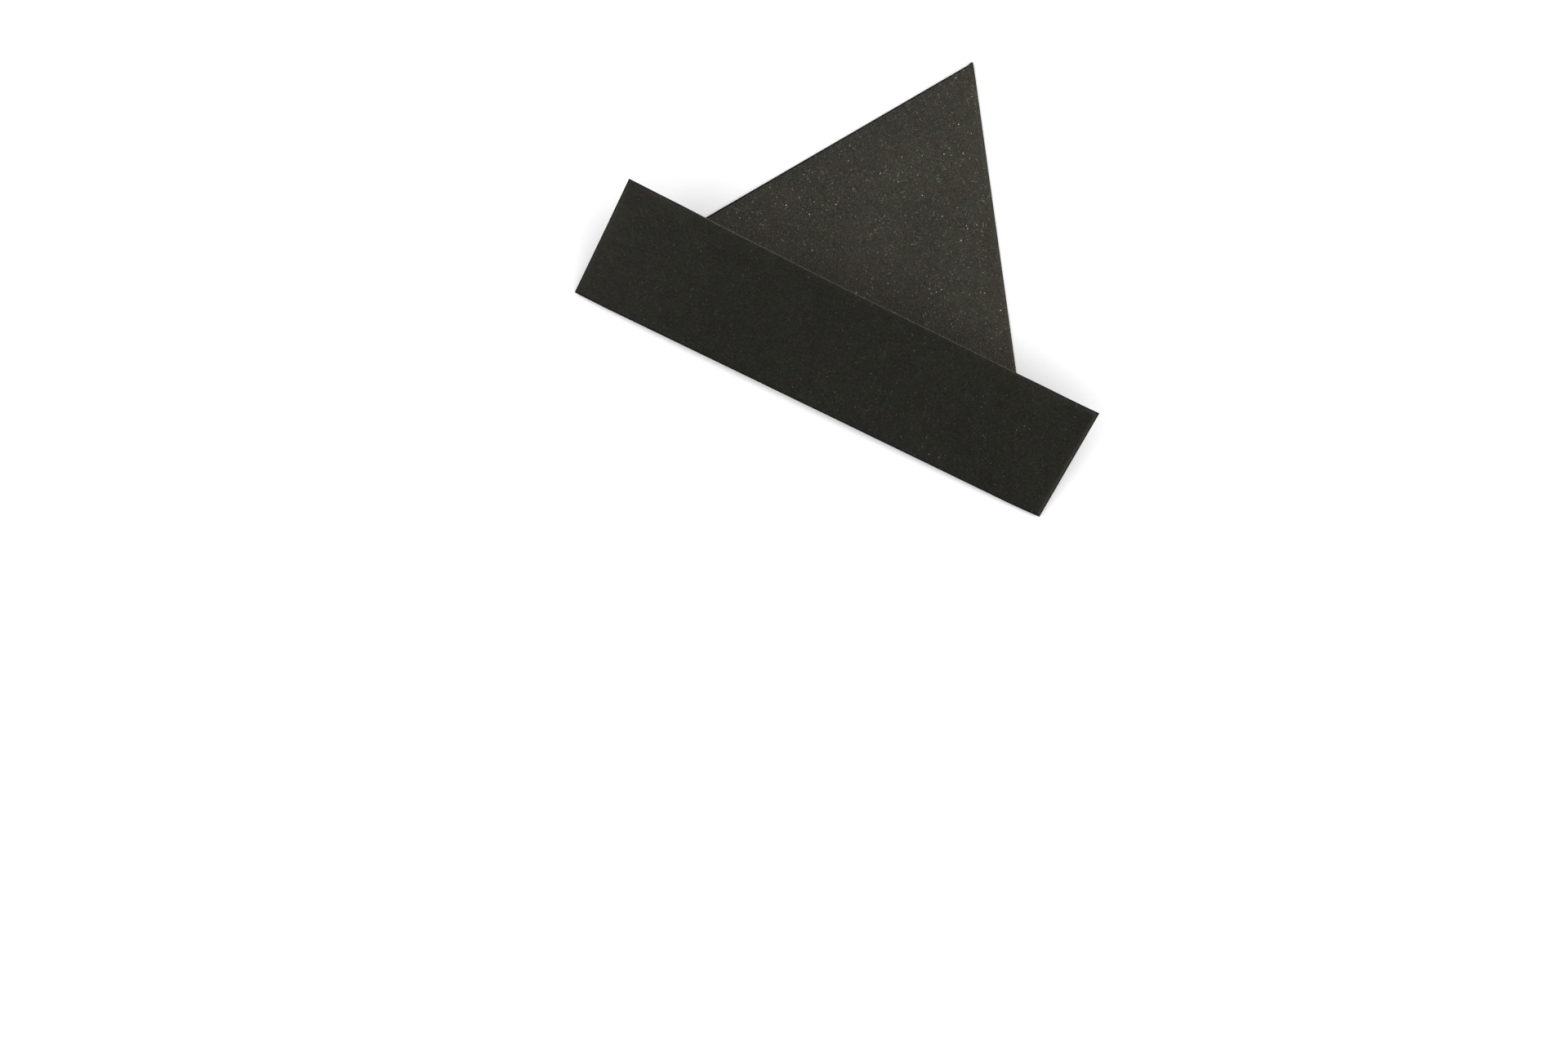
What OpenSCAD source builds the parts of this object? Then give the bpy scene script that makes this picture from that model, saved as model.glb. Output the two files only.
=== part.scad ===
// Folded paper witch hat: one square sheet, black on both faces.
// The two upper corners are folded behind to make the pointed crown, and the
// lower quarter is folded up in front to make the brim, which has sprung open.
// It lies on its back: +X along the brim, +Y towards the point, +Z up, and the
// origin is on the resting plane under the middle of the closed box.
// Lengths in millimetres, angles in degrees.

/* [Sheet] */
// Side of the square sheet
sheet_side = 75; // [60:1:150]
// Thickness of the paper
paper_thickness = 0.1; // [0.08:0.01:0.16]

/* [Folds] */
// Share of the sheet that is folded up as the brim
brim_fraction = 0.259; // [0.2:0.001:0.3]
// Skew of the brim crease against the lower edge of the sheet
brim_skew = 2.3; // [-2.5:0.1:2.5]
// How far the middle of the brim crease bows away from the point
crease_bow = 0.12; // [0:0.02:0.4]
// Radius of the brim crease, at the middle of the paper
brim_bend_radius = 0.2; // [0.16:0.01:0.4]
// Air between two pressed layers
layer_gap = 0.1; // [0.08:0.01:0.16]

/* [Spring-back] */
// Angle between brim and table at the left end
brim_lift_left = 32; // [14:1:40]
// Angle between brim and table in the middle
brim_lift_middle = 27; // [14:1:40]
// Angle between brim and table at the right end
brim_lift_right = 18; // [14:1:40]
// Height of the crown's arch above its side creases, at the brim crease
crown_arch = 0.6; // [0.2:0.1:1.5]

/* [Facets] */
// Columns across the crown and the brim
columns = 28; // [12:2:36]
// Rows down the crown
crown_rows = 18; // [10:1:24]
// Rows up the brim
brim_rows = 6; // [3:1:9]
// Steps round each crease
bend_steps = 5; // [3:1:6]

/* [Hidden] */

S = sheet_side;
T = paper_thickness;
H1 = paper_thickness + layer_gap;      // rise from one layer to the next
M = columns;
N = crown_rows;
K = brim_rows;
NB = bend_steps;
J = N + NB + K;                        // rows from the point to the raw edge of the brim
PAPER = [0.16, 0.16, 0.145];

// ---- small helpers ----
function unit(v) = v / norm(v);
function mix(a, b, f) = a + (b - a) * f;
function flat(p) = [p[0], p[1]];
function side_of(p, a, b) = let(n = unit([-(b - a)[1], (b - a)[0]])) (p - a) * n;
function mirrored(p, a, b) = let(u = unit(b - a), d = p - a) a + 2 * (d * u) * u - d;
function lowest(list) = min(list);
function highest(list) = max(list);

// ---- the sheet laid flat: origin at the middle of the brim crease ----
half_crease = S / (2 * cos(brim_skew));
BL = [-half_crease, 0];
BR = [half_crease, 0];
brim_left = brim_fraction * S + S / 2 * tan(brim_skew);
brim_right = brim_fraction * S - S / 2 * tan(brim_skew);
corner_left = BL + (S - brim_left) * [-sin(brim_skew), cos(brim_skew)];
corner_right = BR + (S - brim_right) * [-sin(brim_skew), cos(brim_skew)];
A = [0, corner_left[1] - corner_left[0] * tan(brim_skew)];

// paper that half of a bend takes up: the flat part of the crown ends this far
// inside the side creases (measured along x) and above the brim crease
side_take = PI / 2 * 0.62 * H1 * norm([half_crease, A[1]]) / A[1];
brim_take = brim_bend_radius * 77.5 * PI / 180;
AI = [0, A[1] * (1 - side_take / half_crease)];
crown_half = (half_crease - side_take) * (1 - brim_take / AI[1]);

// the two upper corners after they are folded behind the crown
TL = mirrored(corner_left, A, BL);
TR = mirrored(corner_right, A, BR);

// ---- heights of the layers, at the middle of the paper ----
// right flap flat on the table; left flap rising to the raw edge of the right one, then flat on it
lean = side_of(BL, A, TR);
function left_flap_z(p) = T / 2 + H1 * (1 - max(0, side_of(p, A, TR) / lean));
left_flap_inward = let(n = unit([-(A - BL)[1], (A - BL)[0]]),
                       q = BL - n) unit([-n[0], -n[1], left_flap_z(q) - left_flap_z(BL)]);
right_flap_inward = let(n = unit([(A - BR)[1], -(A - BR)[0]])) [-n[0], -n[1], 0];

// ---- crown: straight lines run from the point to an arched brim crease ----
function arch(r) = 4 * r * (1 - r);
function bow(r) = crease_bow * (1 - pow(abs(2 * r - 1), 2.5));
function crown(r, s) = let(q = mix(AI, [crown_half * (2 * r - 1), brim_take - bow(r)], s))
    [q[0], q[1], T / 2 + H1 * (2 - s) + crown_arch * s * arch(r)];

// ---- brim crease and brim ----
function brim_tangent(r) = unit(crown(min(1, r + 0.01), 1) - crown(max(0, r - 0.01), 1));
function brim_out(r) = let(e = brim_tangent(r), d = crown(r, 1) - crown(r, 0)) unit(d - (d * e) * e);
function brim_up(r) = cross(brim_out(r), brim_tangent(r));
function brim_lift(r) = mix(brim_lift_left, brim_lift_right, r)
    + (brim_lift_middle - (brim_lift_left + brim_lift_right) / 2) * arch(r);
function brim_dir(r) = let(a = brim_lift(r))
    [sin(brim_skew), cos(brim_skew) * cos(a), cos(brim_skew) * sin(a)];
function brim_turn(r) = let(g = brim_dir(r)) atan2(g * brim_up(r), g * brim_out(r));
function brim_bend(r, a) = crown(r, 1) + brim_bend_radius
    * (brim_up(r) + sin(a) * brim_out(r) - cos(a) * brim_up(r));
// the brim keeps the sheet's full width, past the side bends of the crown
function brim_widen(r, f) = [f * (2 * r - 1) * (half_crease - crown_half), 0, 0];
function brim(r, f) = brim_bend(r, brim_turn(r)) + brim_widen(r, 1)
    + f * (mix(brim_left, brim_right, r) - bow(r) - brim_take) * brim_dir(r);

// middle of the paper at column i, row j, from the point down and up the brim
function front(i, j) = let(r = i / M)
    j <= N ? crown(r, j / N)
    : j <= N + NB ? brim_bend(r, brim_turn(r) * (j - N) / NB) + brim_widen(r, (j - N) / NB)
    : brim(r, (j - N - NB) / K);
function front_up(i, j) = let(r = i / M,
        e = front(min(M, i + 1), max(1, j)) - front(max(0, i - 1), max(1, j)),
        d = front(i, min(N, max(1, j))) - front(i, 0))
    j <= N ? unit(cross(d, e))
    : j <= N + NB ? let(a = brim_turn(r) * (j - N) / NB) cos(a) * brim_up(r) - sin(a) * brim_out(r)
    : let(ee = front(min(M, i + 1), j) - front(max(0, i - 1), j)) unit(cross(brim_dir(r), ee));

// ---- side creases: round bends from the crown down to the flap behind ----
// side 0 is the left crease, side 1 the right one
function bend_base(w, j) = crown(w, j / N);
function bend_m(w, j) = front_up(w * M, max(1, j));
function bend_o(w, j) = let(c = w == 0 ? A - BL : BR - A, m = bend_m(w, j)) unit(cross(m, [c[0], c[1], 0]));
function bend_in(w) = w == 0 ? left_flap_inward : right_flap_inward;
function bend_turn(w, j) = atan2(-(bend_in(w) * bend_m(w, j)), bend_in(w) * bend_o(w, j));
function bend_dir(w, j, a) = sin(a) * bend_o(w, j) + cos(a) * bend_m(w, j);
function flap_z(w, j) = w == 0 ? left_flap_z(flat(bend_base(w, j))) : T / 2;
function bend_radius(w, j) = (bend_base(w, j)[2] - flap_z(w, j))
    / (bend_m(w, j) - bend_dir(w, j, bend_turn(w, j)))[2];
function bend(w, j, k) = let(a = bend_turn(w, j) * k / NB, R = bend_radius(w, j))
    bend_base(w, j) + R * (bend_dir(w, j, a) - bend_m(w, j));
flap_down = [let(u = left_flap_inward, c = unit([(A - BL)[0], (A - BL)[1], 0]), n = unit(cross(c, u))) n[2] < 0 ? n : -n,
             [0, 0, -1]];
function bend_up(w, j, k) = k == NB ? flap_down[w] : bend_dir(w, j, bend_turn(w, j) * k / NB);
// where the left flap crosses the raw edge of the right one
function over_edge(j) = let(p = flat(bend(0, j, NB)), a = side_of(p, A, TR), b = side_of(TL, A, TR),
    q = mix(p, TL, a / (a - b))) [q[0], q[1], T / 2 + H1];

// ---- numbering: the point, the front grid, the two bends, the two hidden corners ----
function id_front(i, j) = j == 0 ? 0 : 1 + (j - 1) * (M + 1) + i;
first_bend = 1 + J * (M + 1);
function id_bend(w, j, k) = k == 0 ? id_front(w * M, j) : first_bend + w * (N + 1) * NB + j * NB + k - 1;
id_tl = first_bend + 2 * (N + 1) * NB;
id_tr = id_tl + 1;
function id_over(j) = j == 0 ? id_bend(0, 0, NB) : id_tr + j;
COUNT = id_tr + N + 1;

middle = concat(
    [crown(0.5, 0)],
    [for (j = [1 : J], i = [0 : M]) front(i, j)],
    [for (w = [0, 1], j = [0 : N], k = [1 : NB]) bend(w, j, k)],
    [[TL[0], TL[1], left_flap_z(TL)], [TR[0], TR[1], T / 2]],
    [for (j = [1 : N]) over_edge(j)]);
up = concat(
    [[0, 0, 1]],
    [for (j = [1 : J], i = [0 : M]) front_up(i, j)],
    [for (w = [0, 1], j = [0 : N], k = [1 : NB]) bend_up(w, j, k)],
    flap_down,
    [for (j = [1 : N]) flap_down[0]]);

// ---- triangles of the sheet, then its two faces and its cut edge ----
function quad(a, b, c, d) = [[a, b, c], [a, c, d]];
sheet_faces = concat(
    [for (i = [0 : M - 1]) [0, id_front(i, 1), id_front(i + 1, 1)]],
    [for (j = [1 : J - 1], i = [0 : M - 1])
        each quad(id_front(i, j), id_front(i, j + 1), id_front(i + 1, j + 1), id_front(i + 1, j))],
    [for (j = [0 : N - 1], k = [0 : NB - 1])
        each quad(id_bend(0, j, k), id_bend(0, j, k + 1), id_bend(0, j + 1, k + 1), id_bend(0, j + 1, k))],
    [for (j = [0 : N - 1], k = [0 : NB - 1])
        each quad(id_bend(1, j, k), id_bend(1, j + 1, k), id_bend(1, j + 1, k + 1), id_bend(1, j, k + 1))],
    [for (j = [0 : N - 1]) [id_bend(0, j, NB), id_over(j + 1), id_bend(0, j + 1, NB)]],
    [for (j = [1 : N - 1]) [id_bend(0, j, NB), id_over(j), id_over(j + 1)]],
    [for (j = [0 : N - 1]) [id_over(j), id_tl, id_over(j + 1)]],
    [for (j = [0 : N - 1]) [id_bend(1, j, NB), id_bend(1, j + 1, NB), id_tr]]);
edge_loop = concat(
    [for (i = [0 : M]) id_front(i, J)],
    [for (j = [J - 1 : -1 : N]) id_front(M, j)],
    [for (k = [1 : NB]) id_bend(1, N, k)],
    [id_tr],
    [for (k = [NB : -1 : 1]) id_bend(1, 0, k)],
    [0],
    [for (k = [1 : NB]) id_bend(0, 0, k)],
    [id_tl, id_over(N)],
    [for (k = [NB : -1 : 1]) id_bend(0, N, k)],
    [for (j = [N : J - 1]) id_front(0, j)]);

points = concat([for (i = [0 : COUNT - 1]) middle[i] + T / 2 * up[i]],
                [for (i = [0 : COUNT - 1]) middle[i] - T / 2 * up[i]]);
faces = concat(
    [for (f = sheet_faces) [f[2], f[1], f[0]]],
    [for (f = sheet_faces) [f[0] + COUNT, f[1] + COUNT, f[2] + COUNT]],
    [for (n = [0 : len(edge_loop) - 1])
        let(a = edge_loop[n], b = edge_loop[(n + 1) % len(edge_loop)])
        each [[a, b, b + COUNT], [a, b + COUNT, a + COUNT]]]);

// ---- where the closed box sits ----
xs = [for (p = points) p[0]];
ys = [for (p = points) p[1]];
zs = [for (p = points) p[2]];
shift = [-(lowest(xs) + highest(xs)) / 2, -(lowest(ys) + highest(ys)) / 2, -lowest(zs)];

module folded_sheet() {
    color(PAPER) translate(shift) polyhedron(points = points, faces = faces, convexity = 12);
}

folded_sheet();
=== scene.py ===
"""Folded paper witch hat, lying on its back on a pale table.

One square sheet of black paper. The CAD node gives the fold lines, the lift of
the brim and the place of every layer; the piece built here stands for that
node with the same folds and a finer surface: slight waves in the paper, rubbed
creases with painted shade along them, a blunt point, cut edges, and the fibres
of the paper, with painted light and shade in its colour.
Fold arithmetic is in millimetres, everything in the scene is in metres.
"""
import math

import bpy
import numpy as np
from mathutils import Matrix, Vector


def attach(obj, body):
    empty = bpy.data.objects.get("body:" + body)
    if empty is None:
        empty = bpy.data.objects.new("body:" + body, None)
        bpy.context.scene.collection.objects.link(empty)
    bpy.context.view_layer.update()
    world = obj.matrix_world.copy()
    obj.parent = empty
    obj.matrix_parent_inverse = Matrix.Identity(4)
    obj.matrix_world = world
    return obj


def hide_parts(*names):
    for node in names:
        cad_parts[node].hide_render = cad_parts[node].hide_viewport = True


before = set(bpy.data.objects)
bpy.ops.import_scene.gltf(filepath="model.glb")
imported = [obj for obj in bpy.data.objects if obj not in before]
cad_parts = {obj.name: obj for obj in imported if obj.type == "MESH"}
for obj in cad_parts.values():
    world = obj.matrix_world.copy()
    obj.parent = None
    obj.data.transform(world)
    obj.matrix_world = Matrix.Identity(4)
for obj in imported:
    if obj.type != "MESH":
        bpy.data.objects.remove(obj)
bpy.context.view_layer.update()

MM = 0.001

# ---------------------------------------------------------------- fold plan
S = 75.0            # side of the square sheet
T = 0.1             # paper thickness
GAP = 0.1           # air between two pressed layers
H1 = T + GAP
BRIM = 0.259        # share of the sheet folded up
SKEW = math.radians(2.3)
BOW = 0.12          # bow of the brim crease
R_BRIM = 0.2        # radius of the brim crease
LIFT_L, LIFT_M, LIFT_R = 32.1, 27.8, 17.6
ARCH = 0.6          # height of the crown's arch

M, N, NB, K = 168, 112, 8, 44      # columns, crown rows, bend steps, brim rows
KF = 18                             # steps across a hidden corner flap
J = N + NB + K


def unit(v):
    return v / np.maximum(np.linalg.norm(v, axis=-1, keepdims=True), 1e-12)


def smooth(a, b, x):
    t = np.clip((x - a) / (b - a), 0.0, 1.0)
    return t * t * (3 - 2 * t)


half = S / (2 * math.cos(SKEW))
BL, BR = np.array([-half, 0.0]), np.array([half, 0.0])
BRIM_L = BRIM * S + S / 2 * math.tan(SKEW)
BRIM_R = BRIM * S - S / 2 * math.tan(SKEW)
UP_EDGE = np.array([-math.sin(SKEW), math.cos(SKEW)])
CORNER_L = BL + (S - BRIM_L) * UP_EDGE
CORNER_R = BR + (S - BRIM_R) * UP_EDGE
A = np.array([0.0, CORNER_L[1] - CORNER_L[0] * math.tan(SKEW)])
# paper that half of a bend takes up: the flat part of the crown ends this far inside
SIDE_TAKE = math.pi / 2 * 0.62 * H1 * math.hypot(half, A[1]) / A[1]
BRIM_TAKE = R_BRIM * math.radians(77.5)
AI = np.array([0.10, A[1] * (1 - SIDE_TAKE / half) - 0.05])
CROWN_HALF = (half - SIDE_TAKE) * (1 - BRIM_TAKE / AI[1])


def mirrored(p, a, b):
    u = (b - a) / np.linalg.norm(b - a)
    d = p - a
    return a + 2 * np.dot(d, u) * u - d


TIP_L = mirrored(CORNER_L, A, BL)
TIP_R = mirrored(CORNER_R, A, BR)


def side_of(p, a, b):
    n = np.array([-(b - a)[1], (b - a)[0]])
    n /= np.linalg.norm(n)
    return (np.asarray(p)[..., :2] - a) @ n


LEAN = side_of(BL, A, TIP_R)


def left_flap_z(p):
    # rises to the raw edge of the flap below, then lies flat on it
    way = side_of(p, A, TIP_R) / LEAN
    return T / 2 + H1 * (1 - (way + np.sqrt(way * way + 0.0009)) / 2)


def waves(x, y, seed, count, longest, shortest):
    """A smooth random relief of unit size, made of a few long waves."""
    g = np.random.default_rng(seed)
    out = np.zeros(np.broadcast(x, y).shape)
    total = 0.0
    for n in range(count):
        f = n / max(1, count - 1)
        length = longest * (shortest / longest) ** f
        a = g.uniform(0, 2 * math.pi)
        amp = length / longest
        out += amp * np.sin(2 * math.pi / length * (x * math.cos(a) + y * math.sin(a)) + g.uniform(0, 2 * math.pi))
        total += amp * amp
    return out / math.sqrt(total)


# ---- the crown, from the point to the brim crease
def arch(r):
    return 4 * r * (1 - r)


def bow(r):
    # almost straight: the crease draws in only close to its two ends
    left, right = np.clip(1 - r / 0.08, 0, 1), np.clip((r - 0.92) / 0.08, 0, 1)
    return BOW * (1.0 + 0.35 * r) - 0.12 * left ** 2 - 0.14 * right ** 2


NUB = 0.24 * (A - BR) / np.linalg.norm(A - BR)


def crown_flat(r, s):
    bx = CROWN_HALF * (2 * r - 1) + 0.06 * (1 - r) - 0.23 * r
    by = BRIM_TAKE - bow(r)
    return AI[0] + s * (bx - AI[0]), AI[1] + s * (by - AI[1])


def crown(r, s):
    x, y = crown_flat(r, s)
    z = T / 2 + H1 * (2 - s) + ARCH * s * arch(r)
    # slight waves, held down along the creases
    hold = smooth(0.0, 0.16, r) * smooth(0.0, 0.16, 1 - r) * smooth(0.02, 0.35, s)
    hold = hold * (0.35 + 0.65 * smooth(0.0, 0.10, 1 - s))
    z = z + 0.06 * hold * np.clip(waves(x, y, 11, 7, 46.0, 11.0), -1.2, 1.6)
    # the tip was pinched: it ends in a tiny nub that points along the right-hand crease
    nub = np.clip(1 - s / 0.0095, 0, 1) ** 1.2
    x, y = x + nub * NUB[0], y + nub * NUB[1]
    return np.stack(np.broadcast_arrays(x, y, z), -1)


def crease_frame(r):
    """Tangent along the brim crease, way out of the crown, and up."""
    e = unit(crown(np.minimum(r + 0.004, 1.0), 1.0) - crown(np.maximum(r - 0.004, 0.0), 1.0))
    d = crown(r, 1.0) - crown(r, 0.05)
    o = unit(d - np.sum(d * e, -1, keepdims=True) * e)
    return e, o, np.cross(o, e)


def lift(r):
    dent = 0.75 * np.exp(-((r - 0.46) / 0.17) ** 2)
    return np.radians(LIFT_L + (LIFT_R - LIFT_L) * r + (LIFT_M - (LIFT_L + LIFT_R) / 2) * arch(r) + dent)


def brim_dir(r):
    a = lift(r)
    return np.stack([np.full_like(a, math.sin(SKEW)), math.cos(SKEW) * np.cos(a), math.cos(SKEW) * np.sin(a)], -1)


def turn(r):
    g = brim_dir(r)
    _, o, m = crease_frame(r)
    return np.arctan2(np.sum(g * m, -1), np.sum(g * o, -1))


def brim_bend(r, a):
    _, o, m = crease_frame(r)
    s, c = np.sin(a)[..., None], np.cos(a)[..., None]
    return crown(r, 1.0) + R_BRIM * (m + s * o - c * m)


def brim_depth(r):
    drawn = 1.12 * np.clip(1 - r / 0.09, 0, 1) ** 2 + 0.82 * np.clip((r - 0.92) / 0.08, 0, 1) ** 2
    # the sheet was cut a hair deeper than it is wide
    return BRIM_L + (BRIM_R - BRIM_L) * r + 0.105 + 0.10 * r ** 3 - bow(r) - 0.26 * drawn - BRIM_TAKE


def widen(r, f):
    """The brim keeps the sheet's full width, past the side bends of the crown."""
    x = f * ((2 * r - 1) * (half - CROWN_HALF) - 0.07 * (1 - r) + 0.15 * r + 0.22 * r ** 4)
    return np.stack([x, np.zeros_like(x), np.zeros_like(x)], -1)


def brim(r, f):
    g = brim_dir(r)
    base = brim_bend(r, turn(r)) + widen(r, 1.0) + (f * brim_depth(r))[..., None] * g
    # the brim curls a little across its depth and waves along its free edge
    n = np.stack([np.zeros_like(r), -np.sin(lift(r)), np.cos(lift(r))], -1)
    u = r * S
    curl = -0.30 * 4 * f * (1 - f) * (0.7 + 0.3 * np.sin(u / 19.0 + 0.6))
    free = f ** 1.4 * (0.05 * np.sin(u / 9.3 + 1.1) + 0.04 * np.sin(u / 5.6 + 2.3 + f))
    # the brim leans a hair to the right
    lean = f[..., None] * np.array([0.17, 0.0, 0.0])
    relief = 0.05 * smooth(0.0, 0.25, f) * waves(u, f * 19.0, 29, 6, 26.0, 7.0)
    return base + lean + (curl + free + relief)[..., None] * n


ri = np.arange(M + 1) / M


def front_rows():
    rows, flat = [], []
    for j in range(J + 1):
        if j <= N:
            s = (j / N) ** 1.3                       # closer rows towards the point
            rows.append(crown(ri, np.full_like(ri, s)))
            x, y = crown_flat(ri, np.full_like(ri, s))
            flat.append(np.stack([x, y], -1))
        elif j <= N + NB:
            a = turn(ri) * (j - N) / NB
            rows.append(brim_bend(ri, a) + widen(ri, min(1.0, 1.8 * (j - N) / NB)))
            x, y = crown_flat(ri, np.ones_like(ri))
            x = x + (half * (2 * ri - 1) - x) * (j - N) / NB
            flat.append(np.stack([x, y - R_BRIM * a], -1))
        else:
            f = np.full_like(ri, (j - N - NB) / K)
            rows.append(brim(ri, f))
            x, y = crown_flat(ri, np.ones_like(ri))
            d = R_BRIM * turn(ri) + f * brim_depth(ri)
            flat.append(np.stack([half * (2 * ri - 1) + d * math.sin(SKEW), y - d * math.cos(SKEW)], -1))
    return np.array(rows), np.array(flat)          # [j, i, xyz]


P, FLAT = front_rows()

# upward normals of the front grid
di = np.empty_like(P)
di[:, 1:-1] = P[:, 2:] - P[:, :-2]
di[:, 0] = P[:, 1] - P[:, 0]
di[:, -1] = P[:, -1] - P[:, -2]
dj = np.empty_like(P)
dj[1:-1] = P[2:] - P[:-2]
dj[0] = P[1] - P[0]
dj[-1] = P[-1] - P[-2]
UPN = unit(np.cross(dj, di))
UPN[0] = [0, 0, 1]
for n, j in enumerate(range(N, N + NB + 1)):       # exact round the tight bend
    a = turn(ri) * n / NB
    _, o, m = crease_frame(ri)
    UPN[j] = np.cos(a)[:, None] * m - np.sin(a)[:, None] * o


# ---- side creases and the two corner flaps behind
def inward(w):
    a, b = (A, BL) if w == 0 else (A, BR)
    n = np.array([-(a - b)[1], (a - b)[0]]) if w == 0 else np.array([(a - b)[1], -(a - b)[0]])
    n = n / np.linalg.norm(n)
    if w == 1:
        return np.array([-n[0], -n[1], 0.0])
    q = b - n
    return unit(np.array([-n[0], -n[1], left_flap_z(q) - left_flap_z(b)]))


def side_bend(w):
    """Bend points, normals and flat places: [j, k] with k = 1 .. NB."""
    base = P[: N + 1, 0 if w == 0 else M]
    m = UPN[: N + 1, 0 if w == 0 else M].copy()
    m[0] = m[1]
    c = (A - BL) if w == 0 else (BR - A)
    o = unit(np.cross(m, np.broadcast_to([c[0], c[1], 0.0], m.shape)))
    g = inward(w)
    a_end = np.arctan2(-(m @ g), o @ g)
    zf = left_flap_z(base) if w == 0 else np.full(N + 1, T / 2)
    end = np.sin(a_end)[:, None] * o + np.cos(a_end)[:, None] * m
    radius = (base[:, 2] - zf) / (m - end)[:, 2]
    pts, nrm, flat = [], [], []
    out = np.array([-c[1], c[0]]) / np.linalg.norm(c)
    # the bends were pinched thin at the very point
    least = 0.50 if w == 0 else 0.78
    pinch = np.stack([least + (1 - least) * smooth(0.0, 0.8, np.linalg.norm(base[:, :2] - base[0, :2], axis=1))] * 2 + [np.ones(N + 1)], -1)
    for k in range(1, NB + 1):
        a = a_end * k / NB
        d = np.sin(a)[:, None] * o + np.cos(a)[:, None] * m
        pts.append(base + radius[:, None] * (d - m) * pinch)
        nrm.append(d)
        flat.append(FLAT[: N + 1, 0 if w == 0 else M] + (radius * a)[:, None] * out)
    return np.swapaxes(pts, 0, 1), np.swapaxes(nrm, 0, 1), np.swapaxes(flat, 0, 1)


def corner_flap(w, edge, edge_flat):
    """Rows from the crease (k = 0, shared) to the hidden corner."""
    tip = TIP_L if w == 0 else TIP_R
    tipz = left_flap_z(tip) if w == 0 else T / 2
    tip3 = np.array([tip[0], tip[1], tipz])
    tipf = CORNER_L if w == 0 else CORNER_R
    g = inward(w)
    c = unit(np.array([(A - BL)[0], (A - BL)[1], 0.0])) if w == 0 else unit(np.array([(A - BR)[0], (A - BR)[1], 0.0]))
    n = unit(np.cross(c, g))
    if n[2] > 0:
        n = -n
    if w == 1:
        n = np.array([0.0, 0.0, -1.0])
    pts, flat = [], []
    for k in range(1, KF):
        f = k / KF
        q = edge + f * (tip3 - edge)
        if w == 0:                                   # the inner flap stands a little off the other
            along = np.linspace(0, 1, len(edge))
            q[:, 2] = left_flap_z(q) + 0.04 * smooth(0.3, 1.0, f) * np.sin(math.pi * np.clip(along, 0, 1)) ** 0.5
        pts.append(q)
        flat.append(edge_flat + f * (tipf - edge_flat))
    return np.swapaxes(pts, 0, 1), tip3, np.swapaxes(flat, 0, 1), tipf, n


# ---- gather the points of the sheet's middle surface
mid, nrm, flat2 = [P[0, 0]], [np.array([0, 0, 1.0])], [FLAT[0, 0]]


def put(p, n, f):
    mid.append(p)
    nrm.append(n)
    flat2.append(f)
    return len(mid) - 1


gid = np.zeros((J + 1, M + 1), int)
for j in range(1, J + 1):
    for i in range(M + 1):
        gid[j, i] = put(P[j, i], UPN[j, i], FLAT[j, i])

bid, fid, tid = [], [], []
for w in (0, 1):
    bp, bn, bf = side_bend(w)
    ids = np.zeros((N + 1, NB + 1), int)
    ids[:, 0] = gid[: N + 1, 0 if w == 0 else M]
    g = corner_flap(w, bp[:, -1], bf[:, -1])
    bn[:, -1] = g[4]
    for j in range(N + 1):
        for k in range(NB):
            ids[j, k + 1] = put(bp[j, k], bn[j, k], bf[j, k])
    rows = np.zeros((N + 1, KF), int)
    rows[:, 0] = ids[:, NB]
    for j in range(N + 1):
        for k in range(1, KF):
            rows[j, k] = put(g[0][j, k - 1], g[4], g[2][j, k - 1])
    bid.append(ids)
    fid.append(rows)
    tid.append(put(g[1], g[4], g[3]))

faces = []
for i in range(M):
    faces.append((0, gid[1, i], gid[1, i + 1]))
for j in range(1, J):
    for i in range(M):
        faces.append((gid[j, i], gid[j + 1, i], gid[j + 1, i + 1], gid[j, i + 1]))
for w in (0, 1):
    for j in range(N):
        for k in range(NB):
            q = (bid[w][j, k], bid[w][j, k + 1], bid[w][j + 1, k + 1], bid[w][j + 1, k])
            faces.append(q if w == 0 else q[::-1])
        for k in range(KF - 1):
            q = (fid[w][j, k], fid[w][j, k + 1], fid[w][j + 1, k + 1], fid[w][j + 1, k])
            faces.append(q if w == 0 else q[::-1])
        t = (fid[w][j, KF - 1], tid[w], fid[w][j + 1, KF - 1])
        faces.append(t if w == 0 else t[::-1])

loop = [gid[J, i] for i in range(M + 1)]
loop += [gid[j, M] for j in range(J - 1, N - 1, -1)]
loop += [bid[1][N, k] for k in range(1, NB + 1)] + [fid[1][N, k] for k in range(1, KF)] + [tid[1]]
loop += [fid[1][0, k] for k in range(KF - 1, 0, -1)] + [bid[1][0, k] for k in range(NB, 0, -1)]
loop += [0]
loop += [bid[0][0, k] for k in range(1, NB + 1)] + [fid[0][0, k] for k in range(1, KF)] + [tid[0]]
loop += [fid[0][N, k] for k in range(KF - 1, 0, -1)] + [bid[0][N, k] for k in range(NB, 0, -1)]
loop += [gid[j, 0] for j in range(N, J)]

mid, nrm, flat2 = np.array(mid), np.array(nrm), np.array(flat2)
COUNT = len(mid)
verts = np.concatenate([mid + T / 2 * nrm, mid - T / 2 * nrm])
lo, hi = verts.min(0), verts.max(0)
SHIFT = np.array([-(lo[0] + hi[0]) / 2, -(lo[1] + hi[1]) / 2, -lo[2]])
verts = verts + SHIFT

# ---- distances for the wear: to the cut edge, to the brim crease, to the side creases
def to_line(p, a, b):
    return np.abs(side_of(p, a, b))


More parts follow.
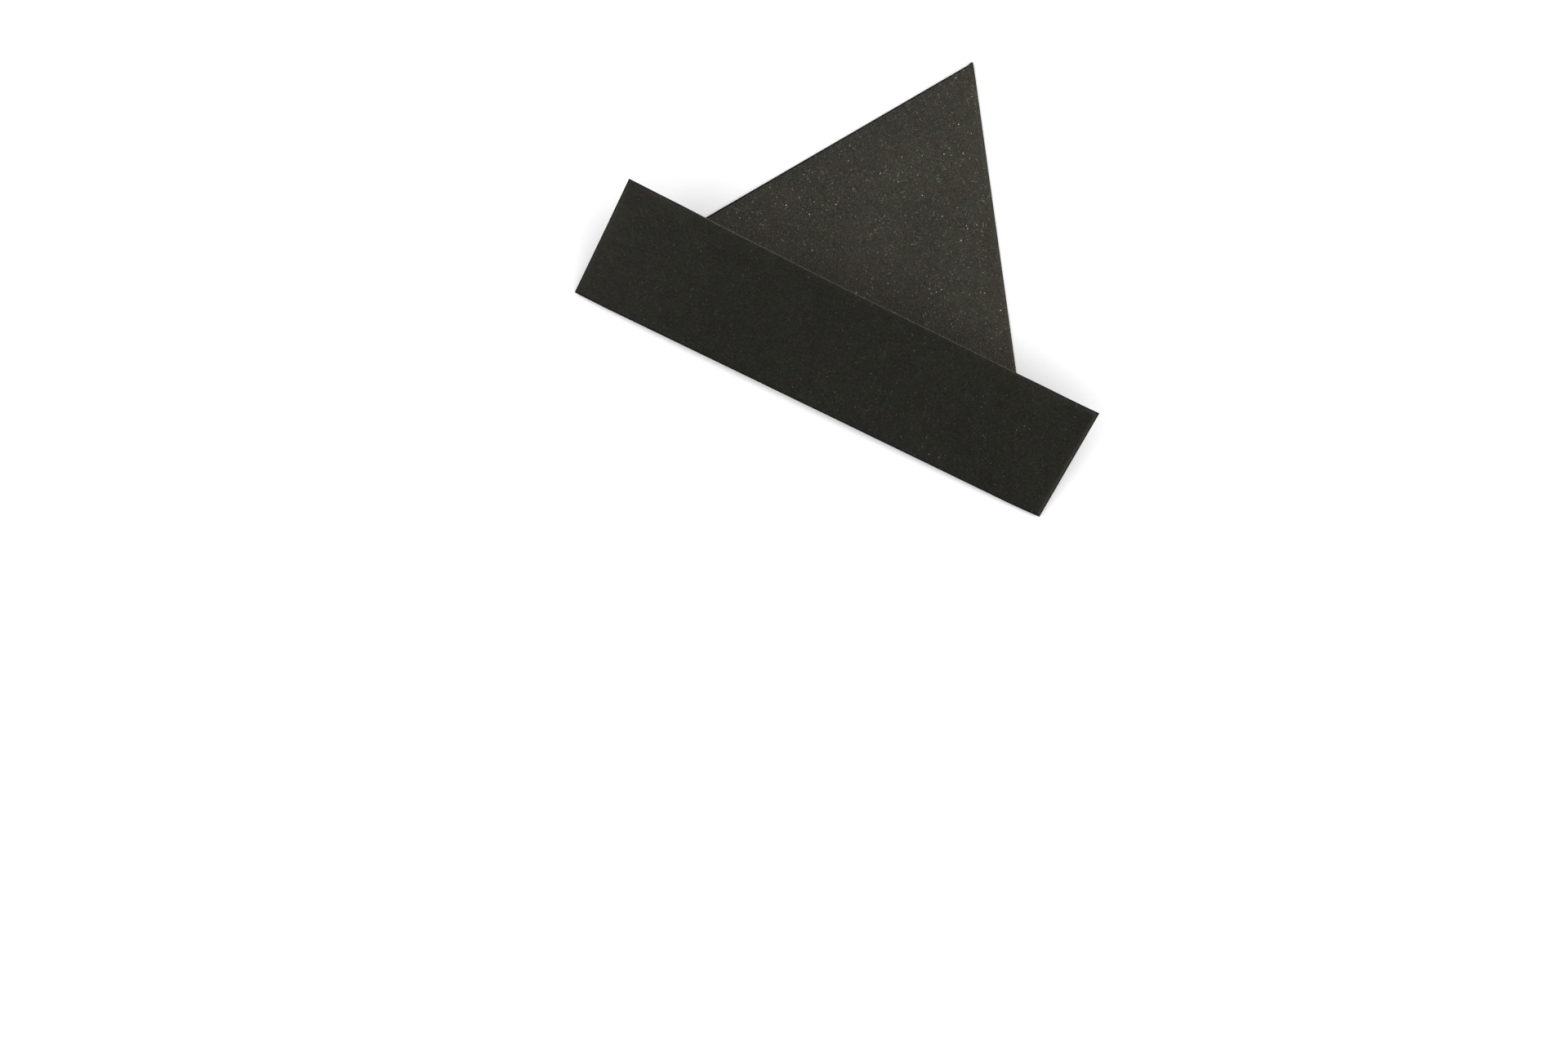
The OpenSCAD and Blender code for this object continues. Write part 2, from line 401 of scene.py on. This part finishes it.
raw = flat2.copy()
corners = [BL + BRIM_L * -UP_EDGE, BR + BRIM_R * -UP_EDGE, CORNER_R, CORNER_L]
above = raw[:, 1] - np.interp(raw[:, 0], FLAT[J, :, 0], FLAT[J, :, 1])
edge_d = np.min([np.maximum(above, 0.0)] + [to_line(raw, corners[n], corners[(n + 1) % 4]) for n in (1, 2, 3)], axis=0)
crease_d = np.min([to_line(raw, A, BL), to_line(raw, A, BR), np.abs(raw[:, 1] + 0.3)], axis=0)
brim_side = smooth(-0.6, 0.0, -raw[:, 1] - 0.3)

all_faces = [tuple(int(v) for v in f) for f in faces]
all_faces += [tuple(int(v) + COUNT for v in f[::-1]) for f in faces]
cut_start = len(all_faces)
for n in range(len(loop)):
    a, b = int(loop[n]), int(loop[(n + 1) % len(loop)])
    all_faces.append((a, a + COUNT, b + COUNT, b))

me = bpy.data.meshes.new("folded_sheet_paper")
me.from_pydata((verts * MM).tolist(), [], all_faces)
me.update()
hat = bpy.data.objects.new("folded_paper_hat", me)
bpy.context.scene.collection.objects.link(hat)
me.polygons.foreach_set("use_smooth", [True] * len(me.polygons))

layer = me.attributes.new("sheet", "FLOAT_VECTOR", "POINT")
sheet = np.zeros((2 * COUNT, 3), np.float32)
sheet[:COUNT, :2] = flat2
sheet[COUNT:, :2] = flat2
sheet[:COUNT, 2] = 1.0
layer.data.foreach_set("vector", sheet.ravel())
layer = me.attributes.new("marks", "FLOAT_VECTOR", "POINT")
marks = np.stack([np.tile(edge_d, 2), np.tile(crease_d, 2), np.tile(brim_side, 2)], -1).astype(np.float32)
layer.data.foreach_set("vector", marks.ravel())

# the sheet's two faces side by side in one map, its cut edge in a strip below
uv = me.uv_layers.new(name="OFBake")
lo2, hi2 = flat2.min(0) - 0.2, flat2.max(0) + 0.2
place = (flat2 - lo2) / (hi2 - lo2)
loops_v = np.zeros(len(me.loops), int)
me.loops.foreach_get("vertex_index", loops_v)
starts = np.array([p.loop_start for p in me.polygons])
coords = np.zeros((len(me.loops), 2))
cut_first = starts[cut_start]
v = loops_v[:cut_first]
back = v >= COUNT
q = place[v % COUNT]
coords[:cut_first, 0] = np.where(back, 0.505 + 0.485 * (1 - q[:, 0]), 0.01 + 0.485 * q[:, 0])
coords[:cut_first, 1] = 0.02 + 0.97 * q[:, 1]
run = np.concatenate([[0], np.cumsum(np.linalg.norm(np.diff(mid[loop + [loop[0]]], axis=0), axis=1))])
run = 0.01 + 0.98 * run / run[-1]
for n in range(len(loop)):
    s0 = cut_first + 4 * n
    coords[s0: s0 + 4] = [[run[n], 0.010], [run[n], 0.004], [run[n + 1], 0.004], [run[n + 1], 0.010]]
uv.data.foreach_set("uv", coords.ravel())

# sharp where the faces meet the cut edge
rim = set()
for n in range(len(loop)):
    a, b = int(loop[n]), int(loop[(n + 1) % len(loop)])
    rim.add((min(a, b), max(a, b)))
    rim.add((min(a, b) + COUNT, max(a, b) + COUNT))
ev = np.zeros(2 * len(me.edges), int)
me.edges.foreach_get("vertices", ev)
ev = np.sort(ev.reshape(-1, 2), axis=1)
sharp = me.attributes.new("sharp_edge", "BOOLEAN", "EDGE")
sharp.data.foreach_set("value", [tuple(e) in rim for e in ev.tolist()])


# ---------------------------------------------------------------- materials
class Tree:
    """Short-hand for building a node tree."""

    def __init__(self, tree):
        self.t = tree

    def node(self, kind, **values):
        n = self.t.nodes.new(kind)
        for k, v in values.items():
            setattr(n, k, v)
        return n

    def wire(self, value, socket):
        if isinstance(value, bpy.types.NodeSocket):
            self.t.links.new(value, socket)
        elif value is not None:
            socket.default_value = value

    def math(self, op, a, b=None, c=None, clamp=False):
        n = self.node("ShaderNodeMath", operation=op, use_clamp=clamp)
        for s, v in zip(n.inputs, (a, b, c)):
            self.wire(v, s)
        return n.outputs[0]

    def vec(self, op, a, b=None, scale=None):
        n = self.node("ShaderNodeVectorMath", operation=op)
        self.wire(a, n.inputs[0])
        self.wire(b, n.inputs[1])
        if scale is not None:
            self.wire(scale, n.inputs["Scale"])
        return n.outputs["Value"] if op in ("LENGTH", "DOT_PRODUCT", "DISTANCE") else n.outputs["Vector"]

    def ramp(self, value, a, b, to_a=0.0, to_b=1.0, soft=True):
        n = self.node("ShaderNodeMapRange", interpolation_type="SMOOTHSTEP" if soft else "LINEAR", clamp=True)
        self.wire(value, n.inputs["Value"])
        self.wire(a, n.inputs["From Min"])
        self.wire(b, n.inputs["From Max"])
        self.wire(to_a, n.inputs["To Min"])
        self.wire(to_b, n.inputs["To Max"])
        return n.outputs["Result"]

    def noise(self, coord, scale, detail=2.0, rough=0.5, distortion=0.0, colour=False):
        n = self.node("ShaderNodeTexNoise", noise_dimensions="3D")
        self.wire(coord, n.inputs["Vector"])
        n.inputs["Scale"].default_value = scale
        n.inputs["Detail"].default_value = detail
        n.inputs["Roughness"].default_value = rough
        n.inputs["Distortion"].default_value = distortion
        return n.outputs["Color"] if colour else n.outputs["Fac"]

    def mix(self, fac, a, b):
        n = self.node("ShaderNodeMix", data_type="RGBA", clamp_factor=True)
        self.wire(fac, n.inputs[0])
        self.wire(a, n.inputs[6])
        self.wire(b, n.inputs[7])
        return n.outputs[2]

    def xyz(self, v):
        n = self.node("ShaderNodeSeparateXYZ")
        self.wire(v, n.inputs[0])
        return n.outputs

    def make(self, x, y, z):
        n = self.node("ShaderNodeCombineXYZ")
        for s, v in zip(n.inputs, (x, y, z)):
            self.wire(v, s)
        return n.outputs[0]


def cell(t, coord, scale, seed):
    """Random cells over the sheet: place inside the cell, and three random numbers."""
    moved = t.vec("ADD", coord, (seed * 7.13, seed * 3.71, 0.0))
    vor = t.node("ShaderNodeTexVoronoi", voronoi_dimensions="2D", feature="F1")
    t.wire(moved, vor.inputs["Vector"])
    vor.inputs["Scale"].default_value = scale
    return t.vec("SUBTRACT", moved, vor.outputs["Position"]), t.xyz(vor.outputs["Color"])


def chosen(t, value, share, power):
    """0 for most cells; for a share of them, 0 to 1 with few bright ones."""
    u = t.math("FRACT", t.math("MULTIPLY", value, 13.73))
    return t.math("POWER", t.ramp(u, 1.0 - share, 1.0, 0.0, 1.0, soft=False), power)


def fibres(t, coord, scale, seed, length, width, curve, share, power=1.0):
    """Short curved fibres scattered over the sheet, 0 to 1. Lengths in mm."""
    local, rnd = cell(t, coord, scale, seed)
    rot = t.node("ShaderNodeVectorRotate", rotation_type="Z_AXIS")
    t.wire(local, rot.inputs["Vector"])
    t.wire(t.math("MULTIPLY", rnd[0], 2 * math.pi), rot.inputs["Angle"])
    p = t.xyz(rot.outputs["Vector"])
    bend = t.math("MULTIPLY", t.math("SUBTRACT", rnd[1], 0.5), 2 * curve)
    away = t.math("ABSOLUTE", t.math("SUBTRACT", p[1], t.math("MULTIPLY", bend, t.math("MULTIPLY", p[0], p[0]))))
    thin = t.ramp(away, width * 0.35, width, 1.0, 0.0)
    reach = t.math("MULTIPLY", t.math("ADD", rnd[2], 0.45), length / 2)
    ends = t.ramp(t.math("SUBTRACT", t.math("ABSOLUTE", p[0]), reach), -0.3 * length / 2, 0.0, 1.0, 0.0)
    return t.math("MULTIPLY", t.math("MULTIPLY", thin, ends), chosen(t, rnd[0], share, power))


def specks(t, coord, scale, seed, size, share, power=1.0):
    """Round specks, 0 to 1, used for specks of undyed pulp and for painted glints. size is the radius in mm."""
    local, rnd = cell(t, coord, scale, seed)
    radius = t.math("MULTIPLY", t.math("ADD", t.math("MULTIPLY", rnd[1], 0.7), 0.65), size)
    dot = t.ramp(t.math("DIVIDE", t.vec("LENGTH", local), radius), 0.35, 1.0, 1.0, 0.0)
    return t.math("MULTIPLY", dot, chosen(t, rnd[0], share, power))


def total(t, terms):
    out = None
    for value, gain in terms:
        value = t.math("MULTIPLY", value, gain)
        out = value if out is None else t.math("ADD", out, value)
    return out


def paper(name, cut=False):
    mat = bpy.data.materials.new(name)
    mat.use_nodes = True
    t = Tree(mat.node_tree)
    mat.node_tree.nodes.clear()
    out = t.node("ShaderNodeOutputMaterial")
    bsdf = t.node("ShaderNodeBsdfPrincipled")
    mat.node_tree.links.new(bsdf.outputs[0], out.inputs[0])

    at = t.node("ShaderNodeAttribute", attribute_name="sheet", attribute_type="GEOMETRY")
    sh = t.xyz(at.outputs["Vector"])
    front = t.ramp(sh[2], 0.4, 0.6, soft=False)
    # a different stretch of the pattern on each face of the sheet; z is constant on a face
    coord = t.make(t.math("ADD", sh[0], t.math("MULTIPLY", front, 210.0)), sh[1], 0.0)
    mk = t.node("ShaderNodeAttribute", attribute_name="marks", attribute_type="GEOMETRY")
    marks_ = t.xyz(mk.outputs["Vector"])

    broad = t.noise(coord, 0.085, 3.0, 0.5)
    middle = t.noise(coord, 0.50, 3.0, 0.6, 0.5)
    fine = t.noise(coord, 2.2, 3.0, 0.75, 0.3)
    grain = t.noise(coord, 6.0, 2.0, 0.8)
    dust = t.noise(t.vec("ADD", coord, (31.7, 12.9, 4.3)), 11.0, 1.0, 0.7)
    tint = t.noise(coord, 2.2, 2.0, 0.65, colour=True)
    tint2 = t.noise(coord, 0.85, 2.0, 0.5, colour=True)

    # short fibres and specks of undyed pulp, with a layer of tiny bright specks that are painted glints; far more of
    # them on the front face
    strands = total(t, [(fibres(t, coord, 0.42, 1.0, 0.72, 0.078, 0.35, 0.45, 1.3), 1.10),
                        (fibres(t, coord, 0.75, 2.0, 0.52, 0.074, 0.50, 0.45, 1.3), 0.95),
                        (fibres(t, coord, 1.15, 3.0, 0.38, 0.070, 0.70, 0.50, 1.2), 0.80),
                        (fibres(t, coord, 1.80, 4.0, 0.28, 0.066, 0.90, 0.50, 1.0), 0.65)])
    specks_and_glints = total(t, [(specks(t, coord, 0.52, 5.0, 0.100, 0.40, 1.5), 1.70),
                     (specks(t, coord, 1.00, 6.0, 0.092, 0.32, 1.4), 0.98),
                     (specks(t, coord, 1.90, 7.0, 0.096, 0.34, 1.1), 0.38),
                     (specks(t, coord, 3.10, 8.0, 0.082, 0.40, 1.0), 0.17),
                     # painted glints: the smallest and brightest specks
                     (specks(t, coord, 0.60, 9.0, 0.072, 0.15, 1.0), 3.10)])
    clump = t.math("MULTIPLY", t.ramp(t.noise(coord, 0.16, 2.0, 0.55), 0.35, 0.70, 0.60, 1.20),
                   t.ramp(t.noise(coord, 0.60, 2.0, 0.6, 0.4), 0.32, 0.68, 0.45, 1.55))
    strands = t.math("MULTIPLY", t.math("MULTIPLY", strands, clump), t.ramp(front, 0.0, 1.0, 0.24, 1.0))
    specks_and_glints = t.math("MULTIPLY", t.math("MULTIPLY", specks_and_glints, clump), t.ramp(front, 0.0, 1.0, 0.235, 1.0))

    # body colour: the front face is a little greyer than the back
    body = t.mix(front, (0.0106, 0.0107, 0.0066, 1), (0.0295, 0.0278, 0.0213, 1))
    vary = t.math("ADD", t.ramp(broad, 0.3, 0.7, -0.08, 0.08, False), t.ramp(middle, 0.3, 0.7, -0.09, 0.09, False))
    vary = t.math("MULTIPLY", vary, t.ramp(front, 0.0, 1.0, 1.95, 1.30))
    body = t.vec("SCALE", body, scale=t.math("MAXIMUM", t.math("ADD", vary, 1.0), 0.15))
    # painted light and shade, not wear: the brim is lighter at its left end and towards its free edge; the crown is
    # lighter towards the point, darker on its left side, and lighter just above the brim's edge, against the shade the
    # brim casts there
    back_painted_light_shade = t.math("ADD", t.ramp(sh[0], -44.0, -12.0, 0.30, 0.0), t.math("ADD", t.ramp(sh[0], 5.0, 38.0, -0.07, -0.09), t.ramp(sh[1], -19.0, -5.0, 0.07, -0.02)))
    front_painted_light_shade = t.math("ADD", t.ramp(sh[1], 28.0, 56.0, 0.075, 0.20), t.math("ADD", t.ramp(sh[0], -24.0, 12.0, -0.10, 0.0), t.ramp(sh[1], 14.0, 32.0, 0.19, 0.0)))
    front_painted_light_shade = t.math("ADD", front_painted_light_shade, t.math("MULTIPLY", t.ramp(sh[0], -20.0, -4.0, 0.17, 0.0), t.ramp(sh[1], 14.0, 26.0, 1.0, 0.0)))
    painted_light_shade = t.math("ADD", t.math("MULTIPLY", back_painted_light_shade, t.math("SUBTRACT", 1.0, front)), t.math("MULTIPLY", front_painted_light_shade, front))
    body = t.vec("SCALE", body, scale=t.math("ADD", painted_light_shade, 1.0))
    # painted light: a faint extra lift on the back face at the brim's left end
    brim_end_painted_light = t.math("MULTIPLY", t.ramp(sh[0], -38.0, -18.0, 0.0022, 0.0), t.math("SUBTRACT", 1.0, front))
    body = t.vec("ADD", body, t.vec("SCALE", (1.0, 0.80, 1.0), scale=brim_end_painted_light))
    # faint red and green casts, as in dyed pulp
    cast = t.vec("MULTIPLY", t.vec("SUBTRACT", tint, (0.5, 0.5, 0.5)), (1.12, 0.62, 0.68))
    cast2 = t.vec("MULTIPLY", t.vec("SUBTRACT", tint2, (0.5, 0.5, 0.5)), (0.34, 0.19, 0.22))
    cast2 = t.vec("SCALE", cast2, scale=t.ramp(front, 0.0, 1.0, 2.1, 1.0))
    body = t.vec("MULTIPLY", body, t.vec("ADD", t.vec("ADD", cast, cast2), (1.0, 1.0, 1.0)))
    # neutral grain on top of the tinted body
    salt = t.math("ADD", t.math("MULTIPLY", t.ramp(fine, 0.25, 0.75, -1.0, 1.0, False), t.ramp(front, 0.0, 1.0, 0.36, 0.19)),
                  t.math("MULTIPLY", t.math("ADD", t.ramp(grain, 0.25, 0.75, -0.55, 0.55, False), t.ramp(dust, 0.25, 0.75, -0.55, 0.55, False)),
                         t.ramp(front, 0.0, 1.0, 0.82, 1.0)))
    salt = t.math("MULTIPLY", salt, t.ramp(front, 0.0, 1.0, 0.0160, 0.0385))
    body = t.vec("MAXIMUM", t.vec("ADD", body, t.vec("SCALE", (1.0, 0.98, 0.93), scale=salt)), (0.0012, 0.0012, 0.0008))
    body = t.vec("ADD", body, t.vec("SCALE", (0.070, 0.069, 0.061), scale=strands))
    # specks of undyed pulp, and painted glints
    body = t.vec("ADD", body, t.vec("SCALE", (0.260, 0.255, 0.215), scale=specks_and_glints))

    # rubbed creases, painted shade along the creases, and the soft pale lip of the cut edge
    rub = t.math("MULTIPLY", t.ramp(marks_[1], 0.0, 0.4, 1.0, 0.0), t.ramp(t.noise(coord, 1.6, 3.0, 0.6), 0.50, 0.80))
    side = t.ramp(sh[0], -2.0, 2.0)
    crown_part = t.ramp(sh[1], 0.6, 2.0)
    over_crown = t.ramp(t.math("ABSOLUTE", sh[0]), 24.0, 29.0, 1.0, 0.0)
    # painted shade: darker along the left side crease, which turns away from the light, and along the brim crease
    crease_painted_shade = t.math("MULTIPLY", t.ramp(marks_[1], 0.28, 0.46, 1.0, 0.0),
                  t.math("MULTIPLY", t.ramp(side, 0.0, 1.0, 0.95, 0.20), crown_part))
    crease_painted_shade = t.math("MAXIMUM", crease_painted_shade, t.math("MULTIPLY", t.ramp(marks_[1], 0.10, 0.25, 0.92, 0.0), t.math("SUBTRACT", 1.0, crown_part)))
    body = t.vec("SCALE", body, scale=t.math("SUBTRACT", 1.0, crease_painted_shade))
    # the last half millimetre before a free cut edge is a little paler; the paler band along the right-hand crease is a
    # painted highlight, where the bend turns towards the light
    pale = t.math("MULTIPLY", t.ramp(marks_[0], 0.16, 0.70, 1.0, 0.0),
                  t.math("ADD", t.ramp(sh[0], -37.2, -36.6, 0.34, 0.62), t.ramp(sh[0], 36.2, 37.0, 0.0, 1.15)))
    pale = t.math("ADD", pale, t.ramp(marks_[0], 0.2, 2.2, 0.26, 0.0))
    pale = t.math("MULTIPLY", pale, t.math("SUBTRACT", 1.0, t.math("MAXIMUM", front, t.math("MULTIPLY", over_crown, 0.68))))
    # painted highlight: a paler band along the right-hand crease, where the bend turns towards the light
    right_crease_painted_highlight = t.math("MULTIPLY", t.ramp(marks_[1], 0.30, 0.85, 1.0, 0.0),
                   t.math("MULTIPLY", t.math("MULTIPLY", front, crown_part), t.ramp(side, 0.0, 1.0, 0.0, 1.05)))
    body = t.vec("ADD", body, t.vec("SCALE", (0.0112, 0.0104, 0.0083), scale=t.math("ADD", pale, right_crease_painted_highlight)))
    # the knife pressed the dye together right at the free cut edge
    pressed = t.math("MULTIPLY", t.ramp(marks_[0], 0.10, 0.22, 0.84, 0.0), t.math("SUBTRACT", 1.0, over_crown))
    body = t.vec("SCALE", body, scale=t.math("SUBTRACT", 1.0, pressed))
    # the lip is frayed: it comes and goes along the edge, and is strongest near both ends of the crown
    lip = t.ramp(t.noise(coord, 1.9, 3.0, 0.8), 0.36, 0.66, 0.42, 1.45)
    if not cut:
        lip = t.math("MULTIPLY", t.ramp(marks_[0], 0.05, 0.13, 0.90, 0.0), lip)
    lip = t.math("MULTIPLY", lip, t.math("MULTIPLY", t.ramp(sh[0], -21.0, -14.0, 1.05, 0.80), t.ramp(sh[0], 2.0, 21.0, 1.0, 1.25)))
    lip = t.math("MULTIPLY", lip, over_crown)
    body = t.vec("ADD", body, t.vec("SCALE", (0.010, 0.010, 0.008), scale=rub))
    body = t.vec("ADD", body, t.vec("SCALE", (0.046, 0.043, 0.034), scale=lip))
    body = t.vec("SCALE", body, scale=0.877)
    t.wire(body, bsdf.inputs["Base Color"])

    rough = t.math("ADD", t.ramp(fine, 0.25, 0.75, 0.72, 0.88, False), t.math("MULTIPLY", strands, -0.10))
    t.wire(rough, bsdf.inputs["Roughness"])
    bsdf.inputs["Specular IOR Level"].default_value = 0.14
    bsdf.inputs["Sheen Weight"].default_value = 0.0175
    bsdf.inputs["Sheen Roughness"].default_value = 0.5

    height = total(t, [(fine, 0.5), (grain, 0.5), (dust, 0.25), (strands, 0.4), (middle, 0.9)])
    bump = t.node("ShaderNodeBump")
    bump.inputs["Strength"].default_value = 0.8
    bump.inputs["Distance"].default_value = 0.00004
    t.wire(height, bump.inputs["Height"])
    t.wire(bump.outputs["Normal"], bsdf.inputs["Normal"])
    return mat


me.materials.append(paper("black_paper"))
me.materials.append(paper("black_paper_cut_edge", cut=True))
index = np.zeros(len(me.polygons), int)
index[cut_start:] = 1
me.polygons.foreach_set("material_index", index)
me.update()

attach(hat, "root")
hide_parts("folded_sheet")

# ---------------------------------------------------------------- stage
def white(name, colour, rough):
    mat = bpy.data.materials.new(name)
    mat.use_nodes = True
    b = mat.node_tree.nodes["Principled BSDF"]
    b.inputs["Base Color"].default_value = (*colour, 1)
    b.inputs["Roughness"].default_value = rough
    b.inputs["Specular IOR Level"].default_value = 0.1
    return mat


fm = bpy.data.meshes.new("table_top")
fm.from_pydata([(-6, -6, -0.00002), (6, -6, -0.00002), (6, 6, -0.00002), (-6, 6, -0.00002)], [], [(0, 1, 2, 3)])
floor = bpy.data.objects.new("table_top", fm)
bpy.context.scene.collection.objects.link(floor)
fm.materials.append(white("pale_table", (0.933, 0.926, 0.936), 0.9))

scene = bpy.context.scene
world = bpy.data.worlds.new("studio")
scene.world = world
world.use_nodes = True
world.node_tree.nodes["Background"].inputs["Color"].default_value = (1.0, 1.0, 1.0, 1)
world.node_tree.nodes["Background"].inputs["Strength"].default_value = 1.037

# the picture's axes in the hat's frame: the brim runs down to the right
ROLL = math.radians(25.79)
RIGHT = Vector((math.cos(ROLL), math.sin(ROLL), 0))
UP = Vector((-math.sin(ROLL), math.cos(ROLL), 0))
AIM = Vector(((4.52 + SHIFT[0]) * MM, (-16.93 + SHIFT[1]) * MM, 0.0))


def lamp(name, right, up, height, size, power):
    data = bpy.data.lights.new(name, "AREA")
    data.shape = "SQUARE"
    data.size = size
    data.energy = power
    o = bpy.data.objects.new(name, data)
    scene.collection.objects.link(o)
    o.location = RIGHT * right + UP * up + Vector((0, 0, height))
    o.rotation_mode = "QUATERNION"
    o.rotation_quaternion = (-o.location).to_track_quat("-Z", "Y")
    return o


lamp("overhead", 0.30, 0.60, 0.90, 0.60, 1.94)
lamp("right_box", 0.95, -0.15, 0.85, 0.45, 2.17)
lamp("left_box", -0.95, -0.15, 0.85, 0.45, 2.28)

# ---------------------------------------------------------------- camera
DIST, SCALE = 0.4317, 8.388           # metres above the table; photograph pixels per mm there
cam_data = bpy.data.cameras.new("camera")
cam_data.sensor_width = 36.0
cam_data.lens = 36.0 * DIST / (1920.0 / SCALE * MM)
cam_data.clip_start, cam_data.clip_end = 0.01, 20.0
cam = bpy.data.objects.new("camera", cam_data)
scene.collection.objects.link(cam)
cam.matrix_world = Matrix(((RIGHT.x, UP.x, 0, AIM.x), (RIGHT.y, UP.y, 0, AIM.y), (0, 0, 1, DIST), (0, 0, 0, 1)))
scene.camera = cam

scene.view_settings.view_transform = "Standard"
scene.view_settings.look = "None"
scene.view_settings.exposure = 0.0
scene.view_settings.gamma = 1.0
